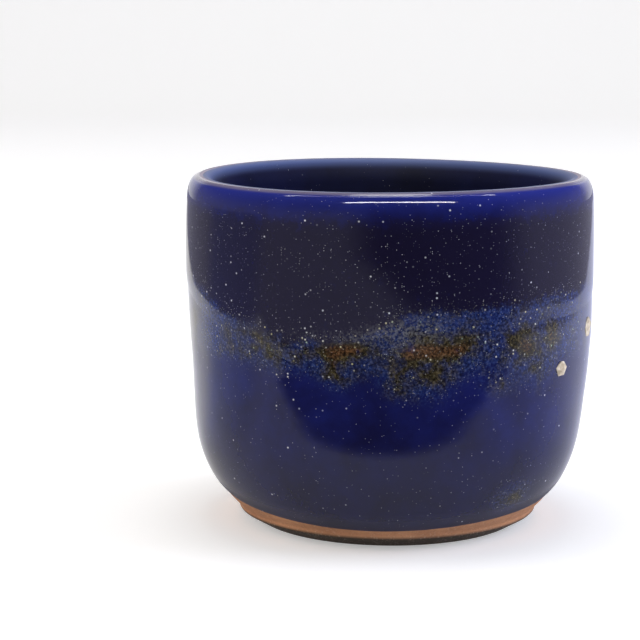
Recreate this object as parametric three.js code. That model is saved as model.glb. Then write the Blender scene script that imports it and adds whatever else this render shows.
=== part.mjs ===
// A small hand-thrown stoneware cup with a cobalt glaze, in millimetres, +Z up.
// The foot stands on z = 0, the turning axis is Z, and the side with +X to the right faces -Y.
import * as THREE from "three";

// Thrown and trimmed clay body
const HEIGHT = 56.8; // foot to lip crest
const RIM_RADIUS = 32.4; // outside of the wall, under the lip
const BELLY_RADIUS = 31.55; // outside of the wall, where the belly turns up into it
const BELLY_HEIGHT = 18; // height of that turn
const BELLY_BEND = 20.9; // radius of the belly's round, seen in section
const WALL_SWELL = 0.51; // how far the wall bows out between belly and lip
const LIP_THICKNESS = 4.15;
const LIP_RISE = 4; // height of the rounded lip
const WALL_THICKNESS = 3.65; // at the turn of the belly
const INNER_BEND = 14; // radius of the corner between wall and floor, inside
const FLOOR_THICKNESS = 4.8;
const FOOT_RECESS = 1.2; // depth of the trimmed hollow under the floor
const FOOT_RING_WIDTH = 4.5;
const RECESS_SLOPE = 1.2; // run of the hollow's sloping edge
const UNDERCUT_HEIGHT = 1.8; // trimmed bevel that lifts the wall clear of the table
const UNDERCUT_DEPTH = 3.1;
const FOOT_BAND_HEIGHT = 0.8; // plain clay band above the bevel
const FOOT_BAND_TAPER = 0.1;

// Glaze coats
const BASE_COAT = 0.45; // thickness of the first cobalt coat
const SECOND_COAT = 0.55; // thickness of the second dip over it
const LINER_COAT = 0.4; // thickness of the glaze inside
const GLAZE_MARGIN = 0.8; // bare clay between the foot band and the glaze line
const GLAZE_RISE = 1.6; // the glaze line stands higher at both sides
const GLAZE_WAVER = 0.14; // its smaller waves
const BASE_EDGE = 1.6; // width of the round edge of the first coat
const DIP_DEPTH = 16.6; // how far the lip was dipped the second time
const DIP_SAG = 5.4; // how far the second coat has run down at its lowest place
const SAG_PLACES = [[-114, 1], [60, 0.63], [140, 0.74]]; // degrees round from +X, and share of that depth
const SAG_SLOW_SIDE = 30; // half width of a run in degrees, on its slow side
const SAG_QUICK_SIDE = 26; // and on its quick side
const DIP_EDGE = 6; // height over which the second coat swells to its full thickness
const DIP_BEAD = 0.25; // share of that thickness in the small round bead along the edge
const BASE_LIP_ANGLE = 76; // degrees round the lip, from its outer side, where the first coat ends
const SECOND_LIP_ANGLE = 60; // and the second
const LINER_LIP_ANGLE = 106; // and the glaze inside

// Band of iron wash dabbed round the wall, below the second coat
const IRON_COAT = 0.14;
const IRON_GAP = 0.8; // from the second coat's edge down to the top of the band
const IRON_DROP = 12; // from the level of the second coat's edge down to the band's lower edge
const IRON_EDGE = 1.5; // width of the band's round edges
const DAB_COUNT = 11;
const DAB_SAG = 1.4; // how far each dab hangs below the band

// Hand-thrown unevenness
const RIM_SADDLE = 0.22; // the lip rises and falls twice in one turn

// Fineness of the surfaces
const SEGMENTS = 48;
const BELLY_STEPS = 7;
const IRON_STEPS = 4;
const DIP_STEPS = 6;
const LIP_STEPS = 3;
const INNER_WALL_STEPS = 3;
const CORNER_STEPS = 6;
const EDGE_GRADE = 1.6; // over 1 crowds the first steps towards a coat's lower edge

const shoulderHeight = HEIGHT - LIP_RISE;
const crestRadius = RIM_RADIUS - LIP_THICKNESS / 2;
const innerBellyRadius = BELLY_RADIUS - WALL_THICKNESS;
const floorHeight = FOOT_RECESS + FLOOR_THICKNESS;
const footBandTop = UNDERCUT_HEIGHT + FOOT_BAND_HEIGHT;

const point = (r, z) => new THREE.Vector2(r, z);

// Lines that run round the outside, as heights at an angle measured from +X towards +Y.
const glazeLine = (angle) =>
  footBandTop + GLAZE_MARGIN + GLAZE_RISE * Math.cos(angle) ** 2 + GLAZE_WAVER * Math.sin(3 * angle + 1);
const sagAt = (angle) =>
  SAG_PLACES.reduce((sum, [centre, depth]) => {
    const past = THREE.MathUtils.euclideanModulo(THREE.MathUtils.radToDeg(angle) - centre + 180, 360) - 180;
    const width = past < 0 ? SAG_SLOW_SIDE : SAG_QUICK_SIDE;
    return sum + depth * Math.exp(-((past / width) ** 2));
  }, 0);
const dipLine = (angle) => HEIGHT - DIP_DEPTH - DIP_SAG * sagAt(angle);
const ironTop = (angle) => dipLine(angle) - IRON_GAP;
const ironBottom = (angle) => {
  const dab = 0.5 + 0.5 * Math.cos(DAB_COUNT * angle + 0.7 * Math.sin(angle));
  return HEIGHT - DIP_DEPTH - IRON_DROP - DAB_SAG * dab;
};

// Outside of the clay at a height: a round belly, then a wall that bows out a little.
function outerRadius(z) {
  if (z < BELLY_HEIGHT) {
    const drop = BELLY_HEIGHT - z;
    return BELLY_RADIUS - BELLY_BEND + Math.sqrt(BELLY_BEND ** 2 - drop ** 2);
  }
  const up = (z - BELLY_HEIGHT) / (shoulderHeight - BELLY_HEIGHT);
  return THREE.MathUtils.lerp(BELLY_RADIUS, RIM_RADIUS, up) + 4 * WALL_SWELL * up * (1 - up);
}

// Heights from one line up to the next, without the last; a grade over 1 crowds them low.
function heightsBetween(low, high, steps, grade = 1) {
  return Array.from({ length: steps }, (_, i) => low + (high - low) * (i / steps) ** grade);
}

// Points round the lip between two angles in degrees, without the last.
function lipBetween(from, to, steps) {
  return Array.from({ length: steps }, (_, i) => {
    const turn = THREE.MathUtils.degToRad(THREE.MathUtils.lerp(from, to, i / steps));
    return point(
      crestRadius + (LIP_THICKNESS / 2) * Math.cos(turn),
      shoulderHeight + LIP_RISE * Math.sin(turn),
    );
  });
}

// The clay's section at an angle, in the stretches that the coats sit on.
const underside = () => {
  const bandRadius = outerRadius(footBandTop) - FOOT_BAND_TAPER;
  const contactRadius = bandRadius - UNDERCUT_DEPTH;
  const ringRadius = contactRadius - FOOT_RING_WIDTH;
  return [
    point(0, FOOT_RECESS),
    point(ringRadius - RECESS_SLOPE, FOOT_RECESS),
    point(ringRadius, 0),
    point(contactRadius, 0),
    point(bandRadius, UNDERCUT_HEIGHT),
    point(outerRadius(footBandTop), footBandTop),
  ];
};

const lowerWall = (angle) =>
  heightsBetween(glazeLine(angle), ironBottom(angle), BELLY_STEPS, EDGE_GRADE)
    .concat(heightsBetween(ironBottom(angle), ironTop(angle), IRON_STEPS), ironTop(angle))
    .map((z) => point(outerRadius(z), z));

const dippedWall = (angle) =>
  heightsBetween(dipLine(angle), shoulderHeight, DIP_STEPS, EDGE_GRADE)
    .map((z) => point(outerRadius(z), z));

const secondLip = () => lipBetween(0, SECOND_LIP_ANGLE, LIP_STEPS);
const baseLip = () => lipBetween(SECOND_LIP_ANGLE, BASE_LIP_ANGLE, 1);
const bareLip = () => lipBetween(BASE_LIP_ANGLE, LINER_LIP_ANGLE, 2);
const linerLip = () => lipBetween(LINER_LIP_ANGLE, 180, LIP_STEPS);

const inside = () => {
  const cornerTop = floorHeight + INNER_BEND;
  const wall = new THREE.LineCurve(
    point(RIM_RADIUS - LIP_THICKNESS, shoulderHeight),
    point(innerBellyRadius, cornerTop),
  );
  const corner = new THREE.EllipseCurve(
    innerBellyRadius - INNER_BEND, cornerTop, INNER_BEND, INNER_BEND, 0, -Math.PI / 2, true,
  );
  return [
    ...wall.getPoints(INNER_WALL_STEPS).slice(0, -1),
    ...corner.getPoints(CORNER_STEPS),
    point(0, floorHeight),
  ];
};

// A round edge: nothing at the rim of a coat, full thickness once the share reaches 1.
const roundEdge = (share) => Math.sqrt(1 - (1 - THREE.MathUtils.clamp(share, 0, 1)) ** 2);

// The same for the thick coat: a small bead, then a slow swell.
const swellingEdge = (share) =>
  DIP_BEAD * roundEdge(share / DIP_BEAD) + (1 - DIP_BEAD) * THREE.MathUtils.smoothstep(share, 0, 1);

// Free face of a coat: its seat pushed out along the section's normal by a thickness at each point.
function coatFace(seat, thicknessAt) {
  return seat.map((p, i) => {
    const before = seat[Math.max(i - 1, 0)];
    const after = seat[Math.min(i + 1, seat.length - 1)];
    const along = after.clone().sub(before).normalize();
    const normal = point(along.y, -along.x);
    return p.clone().addScaledVector(normal, thicknessAt(p, i));
  });
}

// Share of a coat's thickness over the lip, from 1 at the shoulder to 0 at its end.
function lipShare(p, endAngle, side) {
  const across = (side * (p.x - crestRadius)) / (LIP_THICKNESS / 2);
  const turn = THREE.MathUtils.radToDeg(Math.atan2((p.y - shoulderHeight) / LIP_RISE, across));
  return roundEdge(1 - turn / endAngle);
}

const onLip = (p) => p.y > shoulderHeight;

function baseSeat(angle) {
  const end = lipBetween(BASE_LIP_ANGLE, BASE_LIP_ANGLE, 1);
  return [...lowerWall(angle), ...dippedWall(angle), ...secondLip(), ...baseLip(), ...end];
}

function baseFace(angle) {
  const seat = baseSeat(angle);
  return coatFace(seat, (p, i) => {
    if (i === seat.length - 1) return 0;
    if (onLip(p)) return BASE_COAT * lipShare(p, BASE_LIP_ANGLE, 1);
    return BASE_COAT * roundEdge((p.y - glazeLine(angle)) / BASE_EDGE);
  });
}

const lowerCount = BELLY_STEPS + IRON_STEPS + 1;
const ironSeat = (angle) => baseFace(angle).slice(BELLY_STEPS, lowerCount);
const secondSeat = (angle) => baseFace(angle).slice(lowerCount, lowerCount + DIP_STEPS + LIP_STEPS + 1);

function ironFace(angle) {
  const seat = ironSeat(angle);
  return coatFace(seat, (p, i) => {
    if (i === seat.length - 1) return 0;
    const share = Math.min(p.y - seat[0].y, seat.at(-1).y - p.y) / IRON_EDGE;
    return IRON_COAT * roundEdge(share);
  });
}

function secondFace(angle) {
  const clay = [...dippedWall(angle), ...secondLip()];
  const seat = secondSeat(angle);
  return coatFace(seat, (p, i) => {
    if (i === seat.length - 1) return 0;
    if (onLip(clay[i])) return SECOND_COAT * lipShare(clay[i], SECOND_LIP_ANGLE, 1);
    return SECOND_COAT * swellingEdge((p.y - seat[0].y) / DIP_EDGE);
  });
}

const linerSeat = () => [...linerLip(), ...inside()];

function linerFace() {
  return coatFace(linerSeat(), (p, i) => {
    if (i === 0) return 0;
    return LINER_COAT * (onLip(p) ? lipShare(p, 180 - LINER_LIP_ANGLE, -1) : 1);
  });
}

const claySection = (angle) => [
  ...underside(),
  ...lowerWall(angle),
  ...dippedWall(angle),
  ...secondLip(),
  ...baseLip(),
  ...bareLip(),
  ...linerSeat(),
];

// A coat's section runs along its free face and back along its seat; they meet at its thin edges.
const coatSection = (face, seat) => [...face, ...seat.slice(1, -1).reverse()];
const linerSection = () => [...linerFace(), ...linerSeat().slice(1).reverse()];

// A section point's place in space, with the lip's slow rise and fall fading out at the belly.
function place(p, angle) {
  const up = Math.max(p.y - BELLY_HEIGHT, 0) / (HEIGHT - BELLY_HEIGHT);
  const lift = -RIM_SADDLE * Math.sin(2 * angle) * up ** 2;
  return new THREE.Vector3(p.x * Math.cos(angle), p.x * Math.sin(angle), p.y + lift);
}

// Turns a closed section that may change on its way round into a closed solid. Each patch is split
// along its shorter diagonal, so a coat and the face it sits on get the same facets.
function turned(sectionAt) {
  const rings = Array.from({ length: SEGMENTS }, (_, i) => {
    const angle = (2 * Math.PI * i) / SEGMENTS;
    return sectionAt(angle).map((p) => place(p, angle));
  });
  const count = rings[0].length;
  const corners = rings.flat();
  const index = [];
  const addFacet = (...facet) => {
    const [a, b, c] = facet.map((n) => corners[n]);
    const collapsed = a.distanceTo(b) * b.distanceTo(c) * c.distanceTo(a) === 0;
    if (!collapsed) index.push(...facet);
  };
  for (let i = 0; i < SEGMENTS; i++) {
    for (let j = 0; j < count; j++) {
      const here = i * count;
      const next = ((i + 1) % SEGMENTS) * count;
      const above = (j + 1) % count;
      const [a, b, c, d] = [here + j, next + j, next + above, here + above];
      if (corners[a].distanceTo(corners[c]) <= corners[b].distanceTo(corners[d])) {
        addFacet(a, b, c);
        addFacet(a, c, d);
      } else {
        addFacet(a, b, d);
        addFacet(b, c, d);
      }
    }
  }
  const geometry = new THREE.BufferGeometry().setFromPoints(corners);
  geometry.setIndex(index);
  geometry.computeVertexNormals();
  return geometry;
}

const cup = new THREE.Group();

function addPiece(name, sectionAt, finish) {
  const mesh = new THREE.Mesh(turned(sectionAt), new THREE.MeshStandardMaterial(finish));
  mesh.name = name;
  cup.add(mesh);
}

addPiece("clay_body", claySection, { color: "#a9764c", roughness: 0.85, metalness: 0 });
addPiece("base_coat", (angle) => coatSection(baseFace(angle), baseSeat(angle)), {
  color: "#23297c",
  roughness: 0.12,
  metalness: 0,
});
addPiece("second_coat", (angle) => coatSection(secondFace(angle), secondSeat(angle)), {
  color: "#181647",
  roughness: 0.1,
  metalness: 0,
});
addPiece("liner_glaze", linerSection, { color: "#1a2160", roughness: 0.12, metalness: 0 });
addPiece("iron_band", (angle) => coatSection(ironFace(angle), ironSeat(angle)), {
  color: "#54432f",
  roughness: 0.3,
  metalness: 0,
});

export default cup;
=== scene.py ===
# A small hand-thrown stoneware cup in layered cobalt glaze, standing on white paper.
import math

import bpy
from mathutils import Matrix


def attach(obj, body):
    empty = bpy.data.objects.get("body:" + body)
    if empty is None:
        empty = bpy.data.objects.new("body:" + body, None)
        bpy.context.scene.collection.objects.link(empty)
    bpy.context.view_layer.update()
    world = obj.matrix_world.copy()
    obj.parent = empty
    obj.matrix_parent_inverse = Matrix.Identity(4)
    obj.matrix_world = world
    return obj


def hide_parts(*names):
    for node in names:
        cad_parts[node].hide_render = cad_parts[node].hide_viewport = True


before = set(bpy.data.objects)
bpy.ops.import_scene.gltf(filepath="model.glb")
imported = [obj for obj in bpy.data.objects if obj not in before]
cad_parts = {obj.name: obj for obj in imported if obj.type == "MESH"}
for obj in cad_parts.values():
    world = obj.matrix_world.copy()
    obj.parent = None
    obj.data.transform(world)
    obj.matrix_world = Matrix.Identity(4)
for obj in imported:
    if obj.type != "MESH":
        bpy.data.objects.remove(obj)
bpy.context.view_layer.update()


def mm(value):
    return value / 1000


def linear(hexColour):
    channels = [int(hexColour[i:i + 2], 16) / 255 for i in (1, 3, 5)]
    return [c / 12.92 if c <= 0.04045 else ((c + 0.055) / 1.055) ** 2.4 for c in channels] + [1.0]


def softStep(low, high, value):
    share = min(max((value - low) / (high - low), 0), 1)
    return share * share * (3 - 2 * share)


# A round edge: nothing at its start, full thickness after a width
def roundEdge(distance, width):
    share = min(max(distance / width, 0), 1)
    return math.sqrt(1 - (1 - share) ** 2)


# Adds a node with its settings, socket values or links, and colour stops
def addNode(tree, kind, sockets=None, stops=None, **settings):
    node = tree.nodes.new(kind)
    for name, value in settings.items():
        setattr(node, name, value)
    for name, value in (sockets or {}).items():
        if isinstance(value, bpy.types.NodeSocket):
            tree.links.new(value, node.inputs[name])
        else:
            node.inputs[name].default_value = value
    for i, (position, colour) in enumerate(stops or []):
        ramp = node.color_ramp
        stop = ramp.elements[i] if i < 2 else ramp.elements.new(position)
        stop.position = position
        stop.color = linear(colour)
    return node


def emptyMaterial(name):
    material = bpy.data.materials.new(name)
    material.use_nodes = True
    material.node_tree.nodes.clear()
    return material, material.node_tree


def newMaterial(name):
    material, tree = emptyMaterial(name)
    shader = addNode(tree, "ShaderNodeBsdfPrincipled")
    addNode(tree, "ShaderNodeOutputMaterial", {"Surface": shader.outputs["BSDF"]})
    return material, tree, shader


def applyModifier(piece, name):
    bpy.ops.object.select_all(action="DESELECT")
    piece.select_set(True)
    bpy.context.view_layer.objects.active = piece
    bpy.ops.object.modifier_apply(modifier=name)


# Camera at the photograph's place, for a square picture
camera = {
    "place": (0, -0.340, 0.08787),
    "turn": (80.76, -0.14, 1.93),
    "lens": 116.98,
    "sensor": 36,
    "nearest": 0.01,
}


def addCamera():
    bpy.ops.object.select_all(action="DESELECT")
    turn = [math.radians(a) for a in camera["turn"]]
    bpy.ops.object.camera_add(location=camera["place"], rotation=turn)
    eye = bpy.context.active_object
    eye.name = "photoCamera"
    eye.data.lens = camera["lens"]
    eye.data.sensor_width = camera["sensor"]
    eye.data.clip_start = camera["nearest"]
    bpy.context.scene.camera = eye
    print("camera ready")


# White paper that sweeps up behind, a glowing sheet and dome that paint the room reflected in the glaze,
# and the lamps; in metres where nothing else is said
studio = {
    "paperColour": "#f4f3f2",
    "paperRoughness": 0.9,
    "paperShine": 0.1,
    "reach": 1.6,
    "sweepHeight": 1.2,
    "sweepSteps": 24,
    "whiteness": 0.33,  # lifts the paper to white for the camera
    "ambient": 0.5,
    "overheadPower": 1.8,
    "overheadSize": 0.35,
    "overheadPlace": (0, 0.05, 0.9),
    # name, place across, power and tint
    "sideLamps": [("leftLamp", -0.8, 3.2, "#fff4ec"), ("rightLamp", 0.8, 6.0, "#dde4ff")],
    "sideDepth": 0.05,
    "sideHeight": 0.3,
    "sideSize": 0.6,
    "sideTilt": 70,  # degrees
    # place, tilt in degrees, size and power of two long lamps over the camera
    "lipLamps": [((0.1, -0.70, 0.66), 48, (0.95, 0.05), 4.5), ((-0.05, -0.12, 1.0), 7, (1.9, 0.025), 5.0)],
    "paper": (-180, 210, -61, 700),  # edges seen in the glaze: left, right, front and back, in mm
    "paperSoftness": 14.0,
    "paperGlow": (0.46, 0.85),  # how bright it is there in front of the cup and behind it
    "paperTurn": (-60, 60),  # where that changes, in mm from front to back
    "rightTint": "#e4e7ff",  # painted cool reflection on the right of the paper, over these places in mm
    "rightPlaces": (0, 90),
    "leftTint": "#cbd3ff",  # and on the left, there between these directions in degrees
    "leftPlaces": (-40, -140),
    "leftTurns": [(-122, -106), (-66, -80)],
    # two directions in degrees right of the front, the grey before and after them, and their lean in a metre
    "roomTones": [(20, 46, 0.38, 0.0, 100), (55, 88, 0.0, 0.48, 0)],
    "leanReach": 0.5,
    "roomColour": "#e8e6ff",
    "roomStart": (0.14, 0.18),
    "roomLift": 0.0004,
    "ceilingReach": 1.3,  # dome round the cup, seen only in the glaze as a dark ceiling; the next places are shares of its reach
    "ceilingBehind": (0.7, 0.88),  # where it opens towards the back
    "ceilingLow": (0.5, 0.3),  # and only below this height
    "ceilingDims": (0.5, 0.0),  # where it fades towards its foot
    "ceilingFade": 0.2,  # how bright its top is, against its foot
    "ceilingSteps": 48,
}


# How much of a ray is seen, straight or in a shine or a glass, for what is lifted to white
def seenShare(tree):
    path = addNode(tree, "ShaderNodeLightPath").outputs
    share = path["Is Camera Ray"]
    for way in ("Is Glossy Ray", "Is Transmission Ray"):
        share = addNode(tree, "ShaderNodeMath", {
            0: share, 1: path[way]}, operation="MAXIMUM").outputs["Value"]
    return share


def addPaper():
    bpy.ops.object.select_all(action="DESELECT")
    bpy.ops.mesh.primitive_plane_add(size=2 * studio["reach"], location=(0, 0, 0))
    paper = bpy.context.active_object
    paper.name = "whitePaper"
    bpy.ops.object.mode_set(mode="EDIT")
    bpy.ops.mesh.select_mode(type="VERT")
    bpy.ops.mesh.select_all(action="DESELECT")
    bpy.ops.object.mode_set(mode="OBJECT")
    for vertex in paper.data.vertices:
        vertex.select = vertex.co.y > 0
    bpy.ops.object.mode_set(mode="EDIT")
    bpy.ops.mesh.extrude_region_move(TRANSFORM_OT_translate={"value": (0, 0, studio["sweepHeight"])})
    bpy.ops.object.mode_set(mode="OBJECT")
    sweep = paper.modifiers.new("sweep", "BEVEL")
    sweep.width = studio["sweepHeight"] / 2
    sweep.segments = studio["sweepSteps"]
    sweep.limit_method = "ANGLE"
    applyModifier(paper, "sweep")
    bpy.ops.object.shade_smooth()
    material, tree, shader = newMaterial("whitePaper")
    lift = addNode(tree, "ShaderNodeMath", {
        0: seenShare(tree), 1: studio["whiteness"]}, operation="MULTIPLY").outputs["Value"]
    tree.links.new(lift, shader.inputs["Emission Strength"])
    shader.inputs["Emission Color"].default_value = linear("#ffffff")
    shader.inputs["Base Color"].default_value = linear(studio["paperColour"])
    shader.inputs["Roughness"].default_value = studio["paperRoughness"]
    shader.inputs["Specular IOR Level"].default_value = studio["paperShine"]
    paper.data.materials.append(material)


# Direction from the cup, to the right of the front
def bearingFrom(tree, axes):
    forward = addNode(tree, "ShaderNodeMath", {0: axes["Y"], 1: -1.0}, operation="MULTIPLY")
    return addNode(tree, "ShaderNodeMath", {
        0: axes["X"], 1: forward.outputs["Value"]}, operation="ARCTAN2").outputs["Value"]


# Grey of the room, which changes with the direction
def roomTone(tree, axes, away):
    bearing = bearingFrom(tree, axes)
    near = addNode(tree, "ShaderNodeMath", {
        0: away, 1: studio["leanReach"]}, operation="MINIMUM").outputs["Value"]
    tone = 0.0
    for start, end, before, after, lean in studio["roomTones"]:
        leaning = addNode(tree, "ShaderNodeMath", {
            0: near, 1: math.radians(lean), 2: bearing}, operation="MULTIPLY_ADD").outputs["Value"]
        change = addNode(tree, "ShaderNodeMapRange", {
            "Value": leaning, "From Min": math.radians(start), "From Max": math.radians(end),
            "To Min": before, "To Max": after}, interpolation_type="SMOOTHSTEP").outputs["Result"]
        tone = addNode(tree, "ShaderNodeMath", {0: change, 1: tone}, operation="MAXIMUM").outputs["Value"]
    return tone


# Glows in one place and lets light through in another
def glowOrClear(tree, share, colour, strength, tint):
    glow = addNode(tree, "ShaderNodeEmission", {"Color": colour, "Strength": strength})
    clear = addNode(tree, "ShaderNodeBsdfTransparent", {"Color": tint})
    mixed = addNode(tree, "ShaderNodeMixShader", {
        0: share, 1: glow.outputs["Emission"], 2: clear.outputs["BSDF"]})
    addNode(tree, "ShaderNodeOutputMaterial", {"Surface": mixed.outputs["Shader"]})


# Painted reflection of the room round the paper, seen only in the glaze: clear over the paper, glowing grey
# to both sides and dark between
def roomMaterial():
    material, tree = emptyMaterial("paintedReflectionSheet")
    place = addNode(tree, "ShaderNodeTexCoord").outputs["Object"]
    axes = addNode(tree, "ShaderNodeSeparateXYZ", {"Vector": place}).outputs
    left, right, front, back = [mm(edge) for edge in studio["paper"]]
    soft = mm(studio["paperSoftness"])
    (start, end), (near, behind) = studio["paperTurn"], studio["paperGlow"]
    paper = addNode(tree, "ShaderNodeMapRange", {
        "Value": axes["Y"], "From Min": mm(start), "From Max": mm(end), "To Min": near, "To Max": behind},
        interpolation_type="SMOOTHSTEP").outputs["Result"]
    for axis, start, end in (("X", left - soft, left + soft), ("X", right + soft, right - soft),
                             ("Y", front - soft, front + soft), ("Y", back + soft, back - soft)):
        side = addNode(tree, "ShaderNodeMapRange", {
            "Value": axes[axis], "From Min": start, "From Max": end}, interpolation_type="SMOOTHSTEP")
        paper = addNode(tree, "ShaderNodeMath", {
            0: side.outputs["Result"], 1: paper}, operation="MINIMUM").outputs["Value"]
    away = addNode(tree, "ShaderNodeVectorMath", {0: place}, operation="LENGTH").outputs["Value"]
    shares = {}
    for key, value, (start, end) in (("far", away, studio["roomStart"]),
                                     ("right", axes["X"], map(mm, studio["rightPlaces"])),
                                     ("left", axes["X"], map(mm, studio["leftPlaces"]))):
        shares[key] = addNode(tree, "ShaderNodeMapRange", {
            "Value": value, "From Min": start, "From Max": end},
            interpolation_type="SMOOTHSTEP").outputs["Result"]
    strength = addNode(tree, "ShaderNodeMath", {
        0: roomTone(tree, axes, away), 1: shares["far"]}, operation="MULTIPLY").outputs["Value"]
    tint = addNode(tree, "ShaderNodeMix", {
        0: shares["right"], 6: linear("#ffffff"), 7: linear(studio["rightTint"])},
        data_type="RGBA").outputs[2]
    leftward = shares["left"]
    bearing = bearingFrom(tree, axes)
    for start, end in studio["leftTurns"]:
        side = addNode(tree, "ShaderNodeMapRange", {
            "Value": bearing, "From Min": math.radians(start), "From Max": math.radians(end)},
            interpolation_type="SMOOTHSTEP")
        leftward = addNode(tree, "ShaderNodeMath", {
            0: leftward, 1: side.outputs["Result"]}, operation="MULTIPLY").outputs["Value"]
    colour, tint = [addNode(tree, "ShaderNodeMix", {
        0: leftward, 6: tone, 7: linear(studio["leftTint"])},
        data_type="RGBA", blend_type="MULTIPLY").outputs[2]
        for tone in (linear(studio["roomColour"]), tint)]
    glowOrClear(tree, paper, colour, strength, tint)
    return material


# Painted reflection of a dim room over the cup, seen only in the glaze: a grey glow, darker towards its top
# and open towards the paper behind
def ceilingMaterial():
    material, tree = emptyMaterial("paintedReflectionDome")
    place = addNode(tree, "ShaderNodeTexCoord").outputs["Object"]
    axes = addNode(tree, "ShaderNodeSeparateXYZ", {"Vector": place}).outputs
    reach = studio["ceilingReach"]
    shares = {}
    for key, axis, least in (("ceilingBehind", "Y", 0.0), ("ceilingLow", "Z", 0.0),
                             ("ceilingDims", "Z", studio["ceilingFade"])):
        start, end = studio[key]
        shares[key] = addNode(tree, "ShaderNodeMapRange", {
            "Value": axes[axis], "From Min": start * reach, "From Max": end * reach, "To Min": least},
            interpolation_type="SMOOTHSTEP").outputs["Result"]
    strength = addNode(tree, "ShaderNodeMath", {
        0: roomTone(tree, axes, reach), 1: shares["ceilingDims"]}, operation="MULTIPLY").outputs["Value"]
    gap = addNode(tree, "ShaderNodeMath", {
        0: shares["ceilingBehind"], 1: shares["ceilingLow"]}, operation="MULTIPLY").outputs["Value"]
    glowOrClear(tree, gap, linear(studio["roomColour"]), strength, linear("#ffffff"))
    return material


# A glowing sheet just over the paper and a dome over the cup, which only reflections see: painted
# reflections in the glaze
def addRoom():
    bpy.ops.object.select_all(action="DESELECT")
    bpy.ops.mesh.primitive_plane_add(size=2 * studio["reach"], location=(0, 0, studio["roomLift"]))
    sheet = bpy.context.active_object
    sheet.name = "paintedReflectionSheet"
    sheet.data.materials.append(roomMaterial())
    bpy.ops.object.select_all(action="DESELECT")
    steps = studio["ceilingSteps"]
    bpy.ops.mesh.primitive_uv_sphere_add(
        segments=steps, ring_count=steps // 2, radius=studio["ceilingReach"])
    dome = bpy.context.active_object
    dome.name = "paintedReflectionDome"
    dome.data.materials.append(ceilingMaterial())
    for stand in (sheet, dome):
        for way in ("camera", "diffuse", "transmission", "volume_scatter", "shadow"):
            setattr(stand, "visible_" + way, False)


def addLights():
    bpy.ops.object.light_add(type="AREA", location=studio["overheadPlace"])
    overhead = bpy.context.active_object
    overhead.name = "overheadLamp"
    overhead.data.shape = "DISK"
    overhead.data.size = studio["overheadSize"]
    overhead.data.energy = studio["overheadPower"]

    # long lamps above the camera, for the lines of light along the lip
    for i, (place, tilt, size, power) in enumerate(studio["lipLamps"]):
        bpy.ops.object.light_add(type="AREA", location=place, rotation=(math.radians(tilt), 0, 0))
        lamp = bpy.context.active_object
        lamp.name = f"lipLamp{i + 1}"
        lamp.data.shape = "RECTANGLE"
        lamp.data.size, lamp.data.size_y = size
        lamp.data.energy = power
        lamp.visible_diffuse = False

    # soft light from both sides, not seen in the glaze
    for name, across, power, tint in studio["sideLamps"]:
        turn = (0, math.copysign(math.radians(studio["sideTilt"]), across), 0)
        place = (across, studio["sideDepth"], studio["sideHeight"])
        bpy.ops.object.light_add(type="AREA", location=place, rotation=turn)
        soft = bpy.context.active_object
        soft.name = name
        soft.data.size = studio["sideSize"]
        soft.data.energy = power
        soft.data.color = linear(tint)[:3]
        soft.visible_glossy = False

    world = bpy.data.worlds.new("softRoom")
    bpy.context.scene.world = world
    world.use_nodes = True
    tree = world.node_tree
    tree.nodes.clear()
    dim = addNode(tree, "ShaderNodeBackground", {"Color": linear("#ffffff"), "Strength": studio["ambient"]})
    white = addNode(tree, "ShaderNodeBackground", {"Color": linear("#ffffff"), "Strength": 1.0})
    seen = addNode(tree, "ShaderNodeMixShader", {
        0: seenShare(tree), 1: dim.outputs["Background"], 2: white.outputs["Background"]})
    addNode(tree, "ShaderNodeOutputWorld", {"Surface": seen.outputs["Shader"]})
    bpy.context.scene.view_settings.view_transform = "Standard"
    print("studio ready")


# Shared form, in mm
pot = {
    "height": 56.8,  # foot to lip crest
    "rimRadius": 32.52,
    "bellyRadius": 31.55,
    "bellyHeight": 18.0,
    "bellyBend": 20.9,
    "wallSwell": 0.6,
    "lipThickness": 4.15,
    "lipOuter": 1.6,  # from the outside to the crest
    "lipRise": 4.0,
    "rimSaddle": 0.18,  # the lip rises and falls twice in one turn
    "bulge": (0, -0.07, 0.32, 0.05, 0.05),  # how far the pot strays to the right, from foot to lip
    "ribbing": 1.5,  # how far the turn of the belly is eased, as by a rib
    "ribStart": (2.6, 9),
    "ribEnd": (9, 3),  # below the shoulder
    "turns": 192,  # faces round the pot
    "weld": 0.002,
    "smoothAngle": 50,
    "cageWidth": 70,
    "saddleStart": 0.35,  # share of the height where the lip's rise and fall begins
}
shoulder = pot["height"] - pot["lipRise"]
crestRadius = pot["rimRadius"] - pot["lipOuter"]
lipInner = pot["lipThickness"] - pot["lipOuter"]


def thrownRadius(z):
    if z < pot["bellyHeight"]:
        drop = pot["bellyHeight"] - z
        return pot["bellyRadius"] - pot["bellyBend"] + math.sqrt(pot["bellyBend"] ** 2 - drop ** 2)
    up = (z - pot["bellyHeight"]) / (shoulder - pot["bellyHeight"])
    swell = 4 * pot["wallSwell"] * up * (1 - up)
    return pot["bellyRadius"] + (pot["rimRadius"] - pot["bellyRadius"]) * up + swell


# Outside of the clay, with the belly's turn eased as by a rib
def wallRadius(z):
    start, end = [shoulder - drop for drop in pot["ribEnd"]]
    ease = pot["ribbing"] * min(softStep(*pot["ribStart"], z), 1 - softStep(start, end, z))
    ribbed = [thrownRadius(z + ease * i) for i in (-2, -1, 0, 1, 2)]
    return sum(ribbed) / len(ribbed)


def heights(low, high, step):
    count = max(round((high - low) / step), 1)
    return [low + (high - low) * i / count for i in range(count + 1)]


def wallPoints(low, high, step):
    return [(wallRadius(z), z) for z in heights(low, high, step)]


# Round the lip, in degrees from its outer side
def lipPoints(start, end, step=4):
    points = []
    for turn in heights(start, end, step):
        a = math.radians(turn)
        half = pot["lipOuter"] if turn < 90 else lipInner
        points.append((crestRadius + half * math.cos(a), shoulder + pot["lipRise"] * math.sin(a)))
    return points


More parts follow.
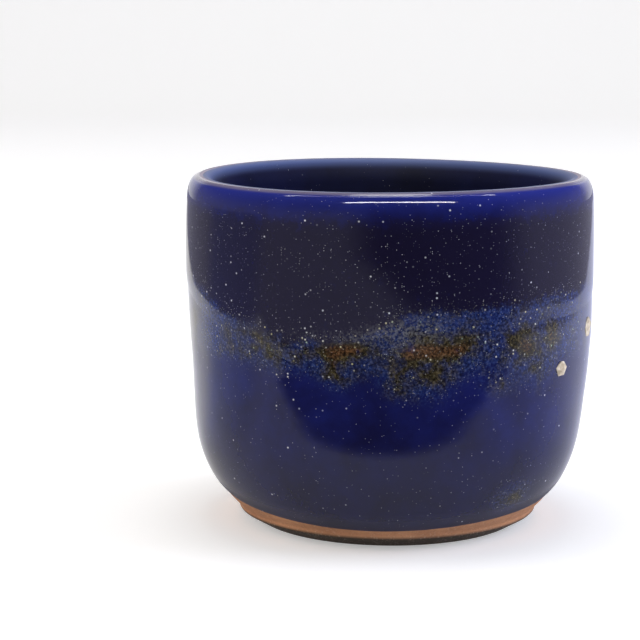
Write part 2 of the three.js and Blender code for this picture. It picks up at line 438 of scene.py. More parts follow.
def lipTurn(r, z):
    across = (r - crestRadius) / (pot["lipOuter"] if r > crestRadius else lipInner)
    return math.degrees(math.atan2((z - shoulder) / pot["lipRise"], across))


# A section pushed out square to itself, by a thickness at each of its points
def pushedOut(section, thicknessAt):
    pushed = []
    for i, (r, z) in enumerate(section):
        ra, za = section[max(i - 1, 0)]
        rb, zb = section[min(i + 1, len(section) - 1)]
        length = math.hypot(rb - ra, zb - za)
        thick = thicknessAt(i)
        pushed.append((r + (zb - za) / length * thick, z - (rb - ra) / length * thick))
    return pushed


# Draws a section from one vertex and spins it round the wheel's axis
def throwPiece(name, section, closed, turns):
    bpy.ops.object.select_all(action="DESELECT")
    r, z = section[0]
    bpy.ops.mesh.primitive_plane_add(size=mm(1), location=(mm(r), 0, mm(z)))
    piece = bpy.context.active_object
    piece.name = piece.data.name = name
    bpy.ops.object.transform_apply(location=True, rotation=True, scale=True)
    bpy.ops.object.mode_set(mode="EDIT")
    bpy.ops.mesh.select_mode(type="VERT")
    bpy.ops.mesh.select_all(action="SELECT")
    bpy.ops.mesh.merge(type="CENTER")
    outline = section + section[:1] if closed else section
    for (ra, za), (rb, zb) in zip(outline, outline[1:]):
        move = (mm(rb - ra), 0, mm(zb - za))
        bpy.ops.mesh.extrude_region_move(TRANSFORM_OT_translate={"value": move})
    bpy.ops.mesh.select_all(action="SELECT")
    bpy.ops.mesh.spin(steps=turns, angle=2 * math.pi, center=(0, 0, 0), axis=(0, 0, 1))
    bpy.ops.mesh.select_all(action="SELECT")
    bpy.ops.mesh.remove_doubles(threshold=mm(pot["weld"]))
    bpy.ops.mesh.normals_make_consistent(inside=False)
    bpy.ops.object.mode_set(mode="OBJECT")
    bpy.ops.object.shade_smooth_by_angle(angle=math.radians(pot["smoothAngle"]))
    print("thrown:", name, len(piece.data.polygons), "faces")
    return piece


# Weights between 0 and 1 by place: degrees round from the front, to the right, height and radius in mm
def placeWeights(piece, weightAt):
    weights = []
    for vertex in piece.data.vertices:
        x, y, z = vertex.co
        weights.append(weightAt(math.degrees(math.atan2(x, -y)), z * 1000, math.hypot(x, y) * 1000))
    return weights


def paintMask(piece, name, maskAt):
    mask = piece.data.attributes.new(name, "FLOAT", "POINT")
    mask.data.foreach_set("value", placeWeights(piece, maskAt))


# Moves the weighted points along their normals
def pushWeighted(piece, name, amount, weightAt):
    group = piece.vertex_groups.new(name=name)
    for i, weight in enumerate(placeWeights(piece, weightAt)):
        if weight > 0:
            group.add([i], weight, "REPLACE")
    push = piece.modifiers.new(name, "DISPLACE")
    push.direction = "NORMAL"
    push.strength = mm(amount)
    push.mid_level = 0
    push.vertex_group = name
    applyModifier(piece, name)


# Cage that gives the whole cup its hand-thrown stray: the lip's rise and fall, and the bulge
def addThrowCage():
    bpy.ops.object.select_all(action="DESELECT")
    bpy.ops.object.add(type="LATTICE", location=(0, 0, mm(pot["height"] / 2)))
    cage = bpy.context.active_object
    cage.name = "throwCage"
    across = pot["cageWidth"]
    start = pot["saddleStart"]
    cage.scale = (mm(across), mm(across), mm(pot["height"]))
    grid = cage.data
    grid.points_u, grid.points_v, grid.points_w = 2, 2, len(pot["bulge"])
    grid.interpolation_type_u = grid.interpolation_type_v = "KEY_LINEAR"
    grid.interpolation_type_w = "KEY_CARDINAL"
    corner = 2 * (across / 2) ** 2 / pot["rimRadius"] ** 2
    for i, point in enumerate(grid.points):
        x, y, z = point.co
        up = max(z + 0.5 - start, 0) / (1 - start)
        lift = -pot["rimSaddle"] * corner * (4 * x * y) * up ** 2
        point.co_deform.x = x + pot["bulge"][i // 4] / across
        point.co_deform.z = z + lift / pot["height"]
    return cage


def followCage(piece, cage):
    follow = piece.modifiers.new("throwCage", "LATTICE")
    follow.object = cage
    applyModifier(piece, "throwCage")


# Thrown and trimmed clay, in mm
clay = {
    "wallThickness": 3.65,
    "innerBend": 14.0,
    "floorThickness": 4.8,
    "recess": 1.2,
    "ringWidth": 4.5,
    "recessSlope": 1.2,
    "undercutHeight": 1.8,
    "undercutDepth": 3.1,
    "bandHeight": 0.8,
    "bandTaper": 0.1,
    "edgeRound": 0.22,
    "edgeSteps": 3,
    "edgeAngle": 22,
    "fineTop": 6.0,  # the section is drawn in fine steps up to here
    "fineStep": 0.3,
    "step": 2.0,
    "toast": [(0.3, "#a87554"), (0.62, "#c69069")],
    "toastSize": 7.0,
    # painted shade: dark brown-grey on the undercut of the foot, which faces the floor
    "undercutShade": "#44392f",
    "undercutShadeFade": (0.5, 0.05),  # over the undercut
    # pale grey-lilac on the lip: partly thin glaze over the clay, partly a painted reflection
    "lip": "#aaa0ae",
    "grit": [(0.5, "#6a4a38"), (0.6, "#e0cbb4")],
    "gritSize": 0.22,
    "gritChance": 0.18,
    "gritStrength": 0.16,
    "ringSpacing": 0.45,
    "ringWander": 1.5,
    "relief": 0.3,
    "reliefDepth": 0.1,
    "roughness": 0.82,
}
floorHeight = clay["recess"] + clay["floorThickness"]
footBandTop = clay["undercutHeight"] + clay["bandHeight"]
innerBelly = pot["bellyRadius"] - clay["wallThickness"]


# Bare fired stoneware: matt tan clay with fine dark and pale grit, toasted in patches, with painted shade on
# the undercut of the trimmed foot and a pale grey-lilac lip, partly thin glaze and partly a painted
# reflection, with fine rings left by the trimming tool
def clayMaterial():
    material, tree, shader = newMaterial("bareStoneware")
    place = addNode(tree, "ShaderNodeTexCoord").outputs["Object"]
    toast = addNode(tree, "ShaderNodeTexNoise", {
        "Vector": place, "Scale": 1000 / clay["toastSize"], "Detail": 6.0, "Roughness": 0.62}).outputs["Fac"]
    colour = addNode(tree, "ShaderNodeValToRGB", {"Fac": toast}, stops=clay["toast"]).outputs["Color"]
    height = addNode(tree, "ShaderNodeSeparateXYZ", {"Vector": place}).outputs["Z"]
    # painted shade on the undercut, fading in just above it
    start, end = [mm(clay["undercutHeight"] + up) for up in clay["undercutShadeFade"]]
    undercutShade = addNode(tree, "ShaderNodeMapRange", {
        "Value": height, "From Min": start, "From Max": end}).outputs["Result"]
    # the lip's pale grey-lilac, partly a painted reflection
    lip = addNode(tree, "ShaderNodeMath", {
        0: height, 1: mm(shoulder)}, operation="GREATER_THAN").outputs["Value"]
    for share, tone in ((undercutShade, "undercutShade"), (lip, "lip")):
        colour = addNode(tree, "ShaderNodeMix", {
            0: share, 6: colour, 7: linear(clay[tone])}, data_type="RGBA").outputs[2]
    cell = addNode(tree, "ShaderNodeTexVoronoi", {"Vector": place, "Scale": 1000 / clay["gritSize"]})
    chance = addNode(tree, "ShaderNodeSeparateColor", {"Color": cell.outputs["Color"]}).outputs
    few = addNode(tree, "ShaderNodeMath", {0: chance["Red"], 1: clay["gritChance"]}, operation="LESS_THAN")
    gritShare = addNode(tree, "ShaderNodeMath", {
        0: few.outputs["Value"], 1: clay["gritStrength"]}, operation="MULTIPLY").outputs["Value"]
    gritTone = addNode(tree, "ShaderNodeValToRGB", {"Fac": chance["Green"]}, stops=clay["grit"])
    colour = addNode(tree, "ShaderNodeMix", {
        0: gritShare, 6: colour, 7: gritTone.outputs["Color"]}, data_type="RGBA").outputs[2]
    waveScale = math.pi / 20  # makes one wave a unit long
    rings = addNode(tree, "ShaderNodeTexWave", {
        "Vector": place, "Scale": 1000 / clay["ringSpacing"] * waveScale,
        "Distortion": clay["ringWander"], "Detail": 2.0}, wave_type="RINGS", rings_direction="Z")
    relief = addNode(tree, "ShaderNodeMath", {
        0: rings.outputs["Fac"], 1: cell.outputs["Distance"]}, operation="ADD").outputs["Value"]
    bump = addNode(tree, "ShaderNodeBump", {
        "Height": relief, "Strength": clay["relief"], "Distance": mm(clay["reliefDepth"])})
    tree.links.new(colour, shader.inputs["Base Color"])
    tree.links.new(bump.outputs["Normal"], shader.inputs["Normal"])
    shader.inputs["Roughness"].default_value = clay["roughness"]
    return material


# From the lip down the inside to the middle of the floor
def insidePoints(step):
    cornerTop = floorHeight + clay["innerBend"]
    rimInside = pot["rimRadius"] - pot["lipThickness"]
    points = []
    for drop in heights(0, shoulder - cornerTop, step):
        share = drop / (shoulder - cornerTop)
        points.append((rimInside + (innerBelly - rimInside) * share, shoulder - drop))
    reach = clay["innerBend"]
    degreesPerMm = 4
    for turn in heights(0, 90, step * degreesPerMm)[1:]:
        a = math.radians(turn)
        points.append((innerBelly - reach + reach * math.cos(a), cornerTop - reach * math.sin(a)))
    flat = innerBelly - reach
    return points + [(flat * share, floorHeight) for share in (0.75, 0.5, 0.25, 0)]


def buildClay():
    bandRadius = wallRadius(footBandTop) - clay["bandTaper"]
    contact = bandRadius - clay["undercutDepth"]
    ring = contact - clay["ringWidth"]
    section = [(0, clay["recess"]), (ring - clay["recessSlope"], clay["recess"]), (ring, 0), (contact, 0)]
    section += [(bandRadius, clay["undercutHeight"])]
    section += wallPoints(footBandTop, clay["fineTop"], clay["fineStep"])
    section += wallPoints(clay["fineTop"], shoulder, clay["step"])[1:]
    section += lipPoints(0, 180)[1:] + insidePoints(clay["step"])[1:]
    piece = throwPiece("clayBody", section, False, pot["turns"])
    soft = piece.modifiers.new("softEdges", "BEVEL")
    soft.width = mm(clay["edgeRound"])
    soft.segments = clay["edgeSteps"]
    soft.limit_method = "ANGLE"
    soft.angle_limit = math.radians(clay["edgeAngle"])
    applyModifier(piece, "softEdges")
    bpy.ops.object.shade_smooth_by_angle(angle=math.radians(pot["smoothAngle"]))
    piece.data.materials.append(clayMaterial())
    return piece


# Colours of iron and cobalt in the band and of the specks, sizes in mm, and between which strengths the
# rust in a dab, the iron, the band, the deep coat's edge and the pale crystals come in
bandTones = {
    "cobalt": [(0.36, "#12183a"), (0.5, "#1b2858"), (0.66, "#3a4b80")],
    "olive": [(0.34, "#16150f"), (0.5, "#2f2a1d"), (0.66, "#5c5339")],
    "rust": [(0.34, "#1e150f"), (0.5, "#452c1d"), (0.66, "#885a3a")],
    "specks": [(0.0, "#eef0fa"), (0.3, "#e4e2d4"), (0.55, "#d2c890"), (0.8, "#a9c0ae")],
    "grainSize": 0.4,
    "cloudSize": 2.0,
    "clouds": 2.2,
    "rustFrom": (0.7, 1.15),
    "ironFrom": (1.5, 2.3),
    "bandFrom": (0.08, 0.4),
    "raggedness": 0.7,
    "deepFrom": (1.4, 1.9),
    "hazeFrom": (0.47, 0.6),
}
glazeLook = {
    "tones": [(0.34, "#15163f"), (0.66, "#1a1f5a")],
    "mottleSize": 7.0,
    # duller glaze colour towards the foot
    "foot": "#1c1a30",
    "deep": "#19162e",
    "haze": "#77787d",
    "lip": "#27308a",
    "thin": "#78718a",
    # cell and size in mm, fading that leaves most specks faint, and share of the cells that hold one:
    # everywhere, and more in the deep coat, in the band and on the deep coat's edge, where they are painted
    # glints
    "fineSpecks": (0.28, 0.14, 2.6, 0.11, 0.2, 0.7, 0.5),
    "boldSpecks": (0.9, 0.38, 0.6, 0.035, 0.08, 0.38, 0.4),
    "speckCore": 0.3,
    "dryEdge": 0.5,
    "shine": 0.5,
    "glassIndex": 1.5,
    "peel": 0.09,
    "peelSize": 1.6,
    "peelDepth": 0.1,
    "roughness": (0.06, 0.06),  # on the wall and on the lip
}


# Glossy stoneware glaze: a coat of coloured glass, mottled, near black where it lies thick, clear blue
# where it thins towards the lip and clay-coloured on its very edge, with a speckled band of cobalt and
# iron melted into it, pale specks under the shine, and pale specks crowded on the deep coat's edge as
# painted glints
def glazeMaterial(name, look):
    material, tree, shader = newMaterial(name)
    place = addNode(tree, "ShaderNodeTexCoord").outputs["Object"]
    masks = {}
    for mask in ("band", "iron", "foot", "deep", "haze", "lip", "thin", "edge", "dry"):
        masks[mask] = addNode(tree, "ShaderNodeAttribute", attribute_name=mask).outputs["Fac"]
    noises = {}
    for key, size in (("mottle", look["mottleSize"]), ("grain", bandTones["grainSize"]),
                      ("cloud", bandTones["cloudSize"]), ("peel", look["peelSize"])):
        noise = addNode(tree, "ShaderNodeTexNoise", {
            "Vector": place, "Scale": 1000 / size, "Detail": 4.0, "Roughness": 0.62}).outputs
        noises[key] = noise["Fac"]
        if key == "grain":
            pick = addNode(tree, "ShaderNodeSeparateColor", {"Color": noise["Color"]}).outputs["Green"]
    mottle = addNode(tree, "ShaderNodeValToRGB", {"Fac": noises["mottle"]}, stops=look["tones"])
    colour = addNode(tree, "ShaderNodeMix", {
        0: masks["foot"], 6: mottle.outputs["Color"], 7: linear(look["foot"])}, data_type="RGBA").outputs[2]

    # how far rust, iron, the band, the deep coat and the crystals come in, all broken up by the grain
    cloudy = addNode(tree, "ShaderNodeMath", {
        0: noises["cloud"], 1: bandTones["clouds"], 2: pick}, operation="MULTIPLY_ADD").outputs["Value"]
    rusty = addNode(tree, "ShaderNodeMath", {0: masks["iron"], 1: cloudy}, operation="ADD").outputs["Value"]
    patchy = addNode(tree, "ShaderNodeMath", {
        0: masks["band"], 1: noises["cloud"]}, operation="MULTIPLY").outputs["Value"]
    ragged = addNode(tree, "ShaderNodeMath", {
        0: cloudy, 1: bandTones["raggedness"], 2: masks["deep"]}, operation="MULTIPLY_ADD").outputs["Value"]
    shares = {}
    for key, value in (("rust", masks["iron"]), ("iron", rusty), ("band", patchy),
                       ("deep", ragged), ("haze", pick)):
        start, end = bandTones[key + "From"]
        shares[key] = addNode(tree, "ShaderNodeMapRange", {
            "Value": value, "From Min": start, "From Max": end}).outputs["Result"]
    hazeShare = addNode(tree, "ShaderNodeMath", {
        0: shares["haze"], 1: masks["haze"]}, operation="MULTIPLY").outputs["Value"]

    # the band: grains of cobalt, and of iron in clouds and in the dabs
    cobalt, olive, rust = [
        addNode(tree, "ShaderNodeValToRGB", {"Fac": noises["grain"]}, stops=bandTones[key]).outputs["Color"]
        for key in ("cobalt", "olive", "rust")]
    iron = addNode(tree, "ShaderNodeMix", {
        0: shares["rust"], 6: olive, 7: rust}, data_type="RGBA").outputs[2]
    grains = addNode(tree, "ShaderNodeMix", {
        0: shares["iron"], 6: cobalt, 7: iron}, data_type="RGBA").outputs[2]
    colour = addNode(tree, "ShaderNodeMix", {
        0: shares["band"], 6: colour, 7: grains}, data_type="RGBA").outputs[2]

    # over it the deep coat, the crystals on its edge, and the thin glaze of the lip
    for share, tone in ((shares["deep"], "deep"), (hazeShare, "haze"),
                        (masks["lip"], "lip"), (masks["thin"], "thin")):
        colour = addNode(tree, "ShaderNodeMix", {
            0: share, 6: colour, 7: linear(look[tone])}, data_type="RGBA").outputs[2]

    # pale specks, one chance in each cell, crowded in the deep coat, crowded and tinted in the band, and
    # crowded on the deep coat's edge as painted glints
    for cellSize, size, fade, few, *more in (look["fineSpecks"], look["boldSpecks"]):
        cell = addNode(tree, "ShaderNodeTexVoronoi", {"Vector": place, "Scale": 1000 / cellSize})
        chance = addNode(tree, "ShaderNodeSeparateColor", {"Color": cell.outputs["Color"]}).outputs
        crowd = few
        for mask, added in zip(("deep", "band", "edge"), more):
            crowd = addNode(tree, "ShaderNodeMath", {
                0: masks[mask], 1: added, 2: crowd}, operation="MULTIPLY_ADD").outputs["Value"]
        chosen = addNode(tree, "ShaderNodeMath", {0: chance["Red"], 1: crowd}, operation="LESS_THAN")
        reach = size / 2 / cellSize
        spot = addNode(tree, "ShaderNodeMapRange", {
            "Value": cell.outputs["Distance"], "From Min": reach, "From Max": reach * look["speckCore"]})
        faint = addNode(tree, "ShaderNodeMath", {0: chance["Green"], 1: fade}, operation="POWER")
        bright = chosen.outputs["Value"]
        for dimming in (spot.outputs["Result"], faint.outputs["Value"]):
            bright = addNode(tree, "ShaderNodeMath", {
                0: bright, 1: dimming}, operation="MULTIPLY").outputs["Value"]
        tint = addNode(tree, "ShaderNodeMath", {0: chance["Blue"], 1: masks["band"]}, operation="MULTIPLY")
        tone = addNode(tree, "ShaderNodeValToRGB", {"Fac": tint.outputs["Value"]}, stops=bandTones["specks"])
        colour = addNode(tree, "ShaderNodeMix", {
            0: bright, 6: colour, 7: tone.outputs["Color"]}, data_type="RGBA").outputs[2]

    relief = addNode(tree, "ShaderNodeBump", {
        "Height": noises["peel"], "Strength": look["peel"], "Distance": mm(look["peelDepth"])})
    tree.links.new(colour, shader.inputs["Base Color"])
    tree.links.new(relief.outputs["Normal"], shader.inputs["Normal"])
    smooth, dull = look["roughness"]
    gloss = addNode(tree, "ShaderNodeMapRange", {"Value": masks["lip"], "To Min": smooth, "To Max": dull})
    dry = addNode(tree, "ShaderNodeMath", {0: masks["dry"], 1: look["dryEdge"]}, operation="MULTIPLY")
    roughness = addNode(tree, "ShaderNodeMath", {
        0: gloss.outputs["Result"], 1: dry.outputs["Value"]}, operation="MAXIMUM").outputs["Value"]
    tree.links.new(roughness, shader.inputs["Roughness"])
    shader.inputs["Specular IOR Level"].default_value = look["shine"]
    shader.inputs["IOR"].default_value = look["glassIndex"]
    return material


# How the coats are made, in mm
coating = {
    "skin": 0.03,  # how far a coat starts under the face that it swells out of
    "sunk": 0.2,  # how deep its back lies there
    "slack": 0.04,
    "fineStep": 0.25,  # steps along the wall near a coat's lower edge
    "margin": 0.5,  # from where its mesh starts up to its lowest edge
}


# Where a coat covers the clay's outside: the wall from a height up, and the lip up to an angle
def outsideSeat(low, lipAngle, fineTop, step):
    wall = wallPoints(low, fineTop, coating["fineStep"]) + wallPoints(fineTop, shoulder, step)[1:]
    return wall + lipPoints(0, lipAngle)[1:]


# A coat whose outer face lies hidden just under what carries it, swelled out by a share of its thickness
def swellCoat(name, turns, seat, beneathAt, thickness, shareAt):
    skin, sunk = coating["skin"], coating["sunk"]
    face = pushedOut(seat, lambda i: beneathAt(*seat[i]) - skin)
    back = pushedOut(seat, lambda i: beneathAt(*seat[i]) - sunk)
    piece = throwPiece(name, face + back[::-1], True, turns)
    between = beneathAt(*seat[0]) - (skin + sunk) / 2

    def outerShare(angle, z, r):
        if z <= shoulder:
            return shareAt(angle, z, r) if r > wallRadius(z) + between else 0
        up = min((z - shoulder) / (pot["lipRise"] + between), 1)
        split = crestRadius + (pot["lipOuter"] + between) * math.sqrt(1 - up ** 2)
        return shareAt(angle, z, r) if r > split - coating["slack"] else 0

    pushWeighted(piece, name, thickness + skin, outerShare)
    return piece


# First coat, from the glaze line over the foot, higher at both sides, up to the lip
baseGlaze = {
    "thickness": 0.45,
    "line": 3.4,
    "rise": 1.6,
    "waver": 0.14,
    "edge": 4.0,
    "lipAngle": 82,
    "lipRun": 2,  # degrees that its full face runs on past there
    "fineBand": 4.5,
    "step": 0.7,
}


def glazeLine(angle):
    turn = math.radians(angle)
    rise = baseGlaze["rise"] * math.sin(turn) ** 2
    return baseGlaze["line"] + rise - baseGlaze["waver"] * math.cos(3 * turn + 1)


def baseThickness(r, z):
    if z <= shoulder:
        return baseGlaze["thickness"]
    return baseGlaze["thickness"] * roundEdge(1 - lipTurn(r, z) / baseGlaze["lipAngle"], 1)


def buildBaseCoat():
    low = baseGlaze["line"] - coating["margin"]
    seat = outsideSeat(low, baseGlaze["lipAngle"], low + baseGlaze["fineBand"], baseGlaze["step"])

    def share(angle, z, r):
        if z > shoulder:
            return roundEdge(1 - lipTurn(r, z) / (baseGlaze["lipAngle"] + baseGlaze["lipRun"]), 1)
        thin = 1 - min(max((z - glazeLine(angle)) / baseGlaze["edge"], 0), 1)
        return 1 - thin ** 2

    piece = swellCoat("baseCoat", pot["turns"], seat, lambda r, z: 0, baseGlaze["thickness"], share)
    paintCoat(piece)
    piece.data.materials.append(glazeMaterial("cobaltGlaze", glazeLook))
    return piece


# Second dip of the upper wall and lip. It is dark down to a line that has run in several places, and thins
# out below it, where the cobalt and the iron show
secondGlaze = {
    "thickness": 0.26,
    "line": 42.6,
    "waver": [(0.18, 9, 1), (0.12, 17, 0)],  # depth, waves in a turn and where they start
    "slope": (-6.0, -1.0),  # from that line
    # degrees round from the front, depth, and half width on the left and on the right
    "sags": [(-25, 6.2, 36, 26), (20, 2.8, 62, 62), (150, 3.4, 32, 20), (228, 4.0, 32, 20)],
    "sagPower": 2.5,
    "lipAngle": 66,
    "lipRun": 3,
    "step": 0.6,
}


def dipLine(angle):
    turn = math.radians(angle)
    height = secondGlaze["line"]
    for depth, waves, start in secondGlaze["waver"]:
        height += depth * math.sin(waves * turn + start)
    for centre, depth, left, right in secondGlaze["sags"]:
        around = (angle - centre + 180) % 360 - 180
        width = left if around < 0 else right
        height -= depth * math.exp(-abs(around / width) ** secondGlaze["sagPower"])
    return height


def buildSecondCoat():
    thinnest, full = secondGlaze["slope"]
    lowest = min(dipLine(angle) for angle in range(360)) + thinnest
    low, fineTop = lowest - coating["margin"], secondGlaze["line"] + full
    seat = outsideSeat(low, secondGlaze["lipAngle"], fineTop, secondGlaze["step"])

    def share(angle, z, r):
        if z > shoulder:
            return roundEdge(1 - lipTurn(r, z) / (secondGlaze["lipAngle"] + secondGlaze["lipRun"]), 1)
        return softStep(thinnest, full, z - dipLine(angle))

    piece = swellCoat("secondCoat", pot["turns"], seat, baseThickness, secondGlaze["thickness"], share)
    paintCoat(piece)
    piece.data.materials.append(glazeMaterial("deepCobaltGlaze", glazeLook))
    return piece


# Dabs of iron wash, melted into the glaze: degrees round from the front, height, half width, half
# height and strength; the set is repeated round the cup
ironBand = {
    "thickness": 0.1,
    "top": 40.0,
    "bottom": 24.6,
    "edge": 1.0,
    "even": (27.6, 32.1),  # between these heights the whole band comes in
    "evenStrength": 0.85,
    "under": (-0.5, 1.9),  # from the second coat's line, where it goes under
    "dabs": [
        (-50, 33.0, 2.4, 2.6, 0.4), (-37, 33.6, 3.6, 2.0, 0.6), (-33, 31.4, 1.6, 1.4, 0.5),
        (-25, 32.2, 2.2, 1.4, 0.5), (-15, 32.9, 2.6, 1.9, 1.0), (-9, 33.5, 2.2, 1.4, 0.8),
        (-15, 30.3, 1.4, 1.4, 0.6), (-4, 32.7, 2.0, 0.9, 0.4), (-13, 28.6, 1.0, 1.2, 0.4),
        (4.5, 32.8, 2.4, 2.0, 0.75), (10.5, 33.2, 3.0, 1.5, 1.0), (18, 33.0, 2.4, 1.6, 0.85),
        (10, 35.4, 2.8, 1.0, 0.4), (21.5, 34.7, 1.8, 1.6, 0.55), (2.5, 29.0, 1.5, 1.8, 0.7),
        (12.5, 29.5, 1.7, 2.2, 0.7), (8, 29.4, 1.2, 1.6, 0.4), (37, 33.8, 3.6, 2.6, 0.7),
        (40, 32.2, 1.6, 1.6, 0.45), (49, 34.0, 1.7, 3.0, 0.8), (43, 29.4, 1.5, 2.4, 0.4),
        (30.5, 27.4, 1.8, 1.2, 0.5)],
    "haze": [(-18, 35.1, 5.0, 0.8, 0.2), (-8, 35.2, 4.0, 0.9, 0.2), (1.5, 35.6, 4.4, 1.6, 0.55),
             (9.5, 36.8, 4.4, 2.0, 0.5)],  # pale crystals over the dabs
    "repeats": (0, 121, 239),
    "stray": (42.5, 8.0, 2.4, 1.5, 0.8),
    "dabReach": 25,  # degrees
    "dabSpread": 2.0,  # how much wider the band lies round a dab
    "painted": 44.0,  # nothing of it lies higher
    "turns": 384,
    "step": 0.35,
}


def repeated(dabs):
    return [(centre + turn, *dab) for turn in ironBand["repeats"] for centre, *dab in dabs]


allDabs = [ironBand["stray"]] + repeated(ironBand["dabs"])
allHaze = repeated(ironBand["haze"])


def dabStrength(angle, z, spread=1, dabs=allDabs):
    total = 0
    for centre, height, wide, tall, strength in dabs:
        around = (angle - centre + 180) % 360 - 180
        if abs(around) < ironBand["dabReach"]:
            across = math.radians(around) * pot["rimRadius"] / (wide * spread)
            total += strength * math.exp(-across ** 2 - ((z - height) / (tall * spread)) ** 2)
    return min(total, 1)


def bandStrength(angle, z):
    even = softStep(*ironBand["even"], z) * ironBand["evenStrength"]
    start, end = [dipLine(angle) + past for past in ironBand["under"]]
    return max(even, dabStrength(angle, z, ironBand["dabSpread"])) * (1 - softStep(start, end, z))


# Where thick and thin glaze lie on a coat, and where the glaze turns duller towards the foot: heights in mm,
# from the line where that is said
coatMasks = {
    # the glaze is painted duller towards the foot, from 24 mm down to 9 mm
    "footStrength": 0.6,
    "foot": (9, 24),
    "deep": (-2.6, 1.6),  # from the second coat's line
    "deepTop": (50.5, 56.0),
    "lipBlue": (50.0, 56.6),
    "lipPower": 3,
    "thin": (50, 80),  # degrees round the lip
    "thinCoat": 0.4,
    "glintEdgeWidth": 1.4,
    "dry": (0.3, 4.5),  # from the glaze line
}


def paintCoat(piece):
    top = ironBand["painted"]
    paintMask(piece, "iron", lambda angle, z, r: dabStrength(angle, z) if z < top else 0)
    paintMask(piece, "band", lambda angle, z, r: bandStrength(angle, z) if z < top else 0)
    paintMask(piece, "haze", lambda angle, z, r: dabStrength(angle, z, dabs=allHaze) if z < top else 0)

    def deepAt(angle, z, r):
        start, end = [dipLine(angle) + past for past in coatMasks["deep"]]
        return softStep(start, end, z) * (1 - softStep(*coatMasks["deepTop"], z))

    def lipAt(angle, z, r):
        low, high = coatMasks["lipBlue"]
        return min(max((z - low) / (high - low), 0), 1) ** coatMasks["lipPower"]

    def thinAt(angle, z, r):
        coat = coatMasks["thinCoat"]
        return softStep(*coatMasks["thin"], lipTurn(r - coat, z - coat)) if z > shoulder else 0

    # the deep coat's edge, where pale specks are crowded as painted glints
    def glintEdgeAt(angle, z, r):
        return math.exp(-((z - dipLine(angle)) / coatMasks["glintEdgeWidth"]) ** 2)

    foot = coatMasks["footStrength"]
    paintMask(piece, "foot", lambda angle, z, r: foot * (1 - softStep(*coatMasks["foot"], z)))
    paintMask(piece, "deep", deepAt)
    paintMask(piece, "lip", lipAt)
    paintMask(piece, "thin", thinAt)
    paintMask(piece, "edge", glintEdgeAt)
    paintMask(piece, "dry", lambda angle, z, r: 1 - softStep(*coatMasks["dry"], z - glazeLine(angle)))


def buildIronBand():
    bottom, top = ironBand["bottom"], ironBand["top"]

    def share(angle, z, r):
        return bandStrength(angle, z) * softStep(0, ironBand["edge"], min(z - bottom, top - z))

    seat = wallPoints(bottom, top, ironBand["step"])
    piece = swellCoat("ironBand", ironBand["turns"], seat, baseThickness, ironBand["thickness"], share)
    paintCoat(piece)
    piece.data.materials.append(glazeMaterial("ironWash", glazeLook))
    return piece


# Glaze poured inside, in mm and degrees round the lip; its lip is pale grey-blue, partly thin glaze and
# partly a painted highlight
liner = {
    "thickness": 0.4,
    "lipAngle": 97,
    "lipBlue": (55.0, 57.0),
    "thin": (98, 132),
    "step": 1.0,
    # the liner's lip colour is paled partly as a painted highlight on the far rim
    "look": dict(glazeLook, tones=[(0.34, "#090d30"), (0.66, "#0d1340")], mottleSize=9.0,
                 lip="#54659a", thin="#7880a0", roughness=(0.6, 0.5), shine=0.15,
                 fineSpecks=(0.28, 0.14, 2.8, 0.04, 0.0, 0.0, 0.0),
                 boldSpecks=(0.9, 0.36, 2.0, 0.004, 0.0, 0.0, 0.0)),
}


def buildLiner():
    lip = lipPoints(liner["lipAngle"], 180)
    seat = lip + insidePoints(liner["step"])[1:]
    last = len(lip) - 1
    face = pushedOut(seat, lambda i: liner["thickness"] * roundEdge(i, last) if i else -coating["skin"])
    back = pushedOut(seat, lambda i: -coating["sunk"])
    face[-1] = (0, face[-1][1])
    back[-1] = (0, back[-1][1])
    piece = throwPiece("linerGlaze", face + back[::-1], True, pot["turns"])

    def thinAt(angle, z, r):
        return 1 - softStep(*liner["thin"], lipTurn(r, z)) if z > shoulder else 0

    # pale lip of the liner, partly a painted highlight
    paintMask(piece, "lip", lambda angle, z, r: softStep(*liner["lipBlue"], z))
    paintMask(piece, "thin", thinAt)
    piece.data.materials.append(glazeMaterial("linerGlaze", liner["look"]))
    return piece


# Chips of kiln grit, fused to the glaze: degrees round from the front, height, how proud they stand,
# and their width, height and thickness
kilnGrit = {
    "chips": [
        ("paleChip", 55.0, 28.2, 0.25, (3.0, 2.8, 1.4)),
        ("edgeChip", 73.5, 33.4, 0.15, (3.4, 4.2, 1.2))],
    "lumpSize": 0.8,
    "lumps": 0.25,
    "lumpLevel": 0.6,
    "lean": 35,  # degrees that a chip leans over
    "tones": [(0.35, "#b9a88e"), (0.6, "#e8dbc4")],
    "roughness": 0.85,
}


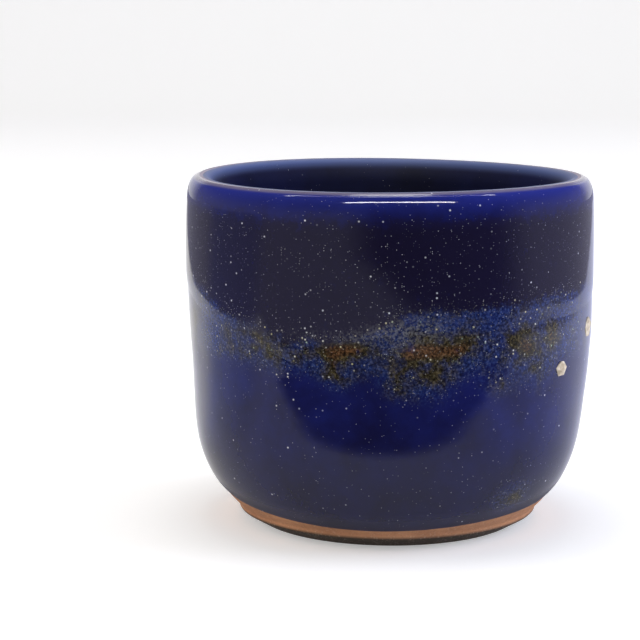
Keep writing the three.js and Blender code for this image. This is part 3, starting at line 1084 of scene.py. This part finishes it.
# Sintered kiln grit: pale cream, matt and chalky
def gritMaterial():
    material, tree, shader = newMaterial("kilnGrit")
    place = addNode(tree, "ShaderNodeTexCoord").outputs["Object"]
    noise = addNode(tree, "ShaderNodeTexNoise", {
        "Vector": place, "Scale": 1000 / kilnGrit["lumpSize"], "Detail": 5.0})
    tone = addNode(tree, "ShaderNodeValToRGB", {"Fac": noise.outputs["Fac"]}, stops=kilnGrit["tones"])
    tree.links.new(tone.outputs["Color"], shader.inputs["Base Color"])
    shader.inputs["Roughness"].default_value = kilnGrit["roughness"]
    return material


def buildGrit(name, angle, z, proud, size, material):
    turn = math.radians(angle)
    r = wallRadius(z) + baseGlaze["thickness"] + proud
    wide, tall, thick = size
    bpy.ops.object.select_all(action="DESELECT")
    place = (mm(r * math.sin(turn)), mm(-r * math.cos(turn)), mm(z))
    bpy.ops.mesh.primitive_ico_sphere_add(
        subdivisions=1, radius=0.5, location=place, rotation=(0, math.radians(kilnGrit["lean"]), turn),
        scale=(mm(wide), mm(thick), mm(tall)))
    chip = bpy.context.active_object
    chip.name = chip.data.name = name
    bpy.ops.object.transform_apply(location=True, rotation=True, scale=True)
    lumps = bpy.data.textures.new(name, "STUCCI")
    lumps.noise_scale = mm(kilnGrit["lumpSize"])
    rough = chip.modifiers.new("lumps", "DISPLACE")
    rough.texture = lumps
    rough.texture_coords = "LOCAL"
    rough.strength = mm(kilnGrit["lumps"])
    rough.mid_level = kilnGrit["lumpLevel"]
    applyModifier(chip, "lumps")
    chip.data.materials.append(material)
    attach(chip, "root")
    print("placed:", name)


addCamera()
addPaper()
addRoom()
addLights()
throwCage = addThrowCage()
cupPieces = [
    (buildClay, "clay_body", "stoneware_clay"),
    (buildBaseCoat, "base_coat", "cobalt_glaze"),
    (buildSecondCoat, "second_coat", "deep_cobalt_glaze"),
    (buildIronBand, "iron_band", "iron_wash"),
    (buildLiner, "liner_glaze", "liner_glaze"),
]
for build, node, slot in cupPieces:
    piece = build()
    followCage(piece, throwCage)
    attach(piece, "root")
    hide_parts(node)
    print("placed:", piece.name)
bpy.data.objects.remove(throwCage)
gritLook = gritMaterial()
for chip in kilnGrit["chips"]:
    buildGrit(*chip, gritLook)
